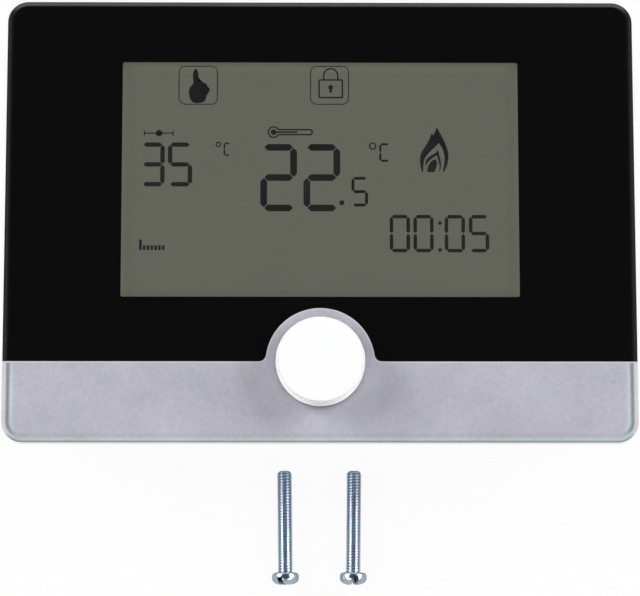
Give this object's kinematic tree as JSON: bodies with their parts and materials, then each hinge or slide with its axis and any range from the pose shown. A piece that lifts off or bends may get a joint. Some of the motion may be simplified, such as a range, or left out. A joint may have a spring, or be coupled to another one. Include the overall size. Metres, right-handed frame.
{
  "type": "wall thermostat",
  "caption": "Wall thermostat: bevelled acrylic front with black and silver print, LCD window, turn-and-press dial, housing hung on a wall plate, loose fixing screws",
  "frame": {"origin": "centre of the wall plate's rear face, on the wall plane", "axes": "+X to the right as seen from the front, +Y up the wall, +Z out of the wall towards the user"},
  "size_m": [0.12, 0.111, 0.0291],
  "materials": {
    "abs_white": "moulded ABS, fine spark texture",
    "abs_grey": "moulded ABS, silver grey",
    "acrylic_clear": "clear cast acrylic, polished edges",
    "ink_black": "opaque black screen print behind acrylic",
    "ink_silver": "metallic silver screen print behind acrylic",
    "ink_bright": "bright silver line, screen print",
    "tape": "double-sided tape",
    "lcd_glass": "liquid crystal glass",
    "polarizer": "polarizing film, olive grey",
    "pc_white": "moulded white polycarbonate",
    "acrylic_guide": "moulded acrylic light guide",
    "led": "LED package",
    "silicone": "silicone with carbon layers",
    "fr4_green": "glass epoxy board with green solder resist",
    "steel_zinc": "steel, blue-white zinc plated",
    "steel_black": "steel, black zinc",
    "encoder_steel": "tinned sheet steel and die-cast bushing",
    "acetal": "moulded acetal",
    "shaft_metal": "turned aluminium shaft",
    "dial_white": "moulded ABS, gloss white",
    "relay_case": "moulded relay case, blue",
    "package_black": "epoxy moulding compound",
    "can_metal": "drawn metal can",
    "ntc_epoxy": "epoxy bead",
    "terminal_green": "polyamide",
    "brass": "nickel-plated brass",
    "cell_jacket": "printed film over steel can",
    "contact_steel": "nickel-plated spring steel"
  },
  "bodies": {
    "base": {"wall_plate": "abs_white", "mounting_screws": "steel_zinc"},
    "unit": {"rear_housing": "abs_grey", "front_housing": "abs_grey", "housing_screws": "steel_black", "front_panel": "acrylic_clear", "black_print": "ink_black", "silver_print": "ink_silver", "trim_line": "ink_bright", "panel_adhesive": "tape", "lcd_glass": "lcd_glass", "lcd_polarizer": "polarizer", "lcd_holder": "pc_white", "light_guide": "acrylic_guide", "backlight_leds": "led", "zebra_strip": "silicone", "main_board": "fr4_green", "board_screws": "steel_zinc", "encoder_body": "encoder_steel", "relay": "relay_case", "microcontroller": "package_black", "crystal": "can_metal", "capacitor": "can_metal", "ntc_sensor": "ntc_epoxy", "terminal_block": "terminal_green", "terminal_screws": "brass", "terminal_clamps": "brass", "cells": "cell_jacket", "cell_contacts": "contact_steel"},
    "press": {"encoder_plunger": "acetal"},
    "dial": {"encoder_shaft": "shaft_metal", "knob": "dial_white"}
  },
  "joints": [
    {"name": "unit_tilt", "type": "hinge", "parent": "base", "child": "unit", "pos_m": [0, 0.03496, 0.006], "axis": [-1, 0, 0], "range_deg": [0, 10]},
    {"name": "dial_press", "type": "slide", "parent": "unit", "child": "press", "axis": [0, 0, -1], "range_m": [0, 0.0005], "stiffness_N_per_m": 6000},
    {"name": "dial_turn", "type": "hinge", "parent": "press", "child": "dial", "pos_m": [0, -0.02715, 0.02], "axis": [0, 0, 1], "continuous": true}
  ]
}
